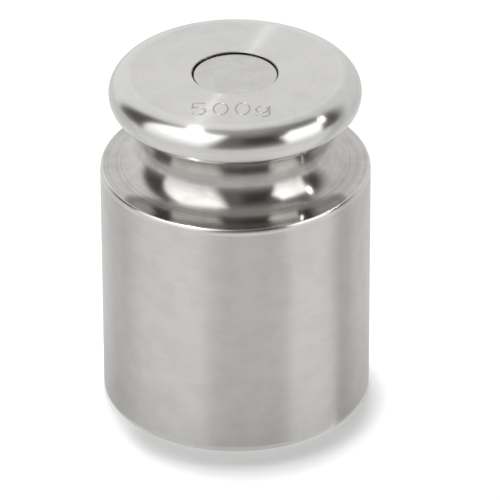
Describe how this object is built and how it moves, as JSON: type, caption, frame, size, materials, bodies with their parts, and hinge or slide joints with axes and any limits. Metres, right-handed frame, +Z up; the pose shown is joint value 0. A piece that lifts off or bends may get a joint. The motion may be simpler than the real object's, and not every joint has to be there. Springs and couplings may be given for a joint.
{
  "type": "calibration weight",
  "caption": "Cylindrical metal calibration weight with a round grip knob and a plugged adjusting cavity in the knob.",
  "frame": {"origin": "centre of the flat base, where the weight stands on the pan", "axes": "+Z up along the axis of the turned body, from the base to the top of the knob; -Y is the side that the numerals on the knob are read from"},
  "size_m": [0.0408, 0.0408, 0.0547],
  "materials": {
    "stainless_steel": "finely turned stainless steel, with a polished neck and rim",
    "soft_metal": "smooth pressed soft metal, satin",
    "brass": "turned brass",
    "shot": "dull grey lead shot"
  },
  "bodies": {
    "root": {"weight_body": "stainless_steel", "sealing_plug": "soft_metal", "closing_disc": "brass", "adjusting_shot_1": "shot", "adjusting_shot_2": "shot", "adjusting_shot_3": "shot", "adjusting_shot_4": "shot", "adjusting_shot_5": "shot", "adjusting_shot_6": "shot", "adjusting_shot_7": "shot", "adjusting_shot_8": "shot", "adjusting_shot_9": "shot"}
  },
  "joints": []
}
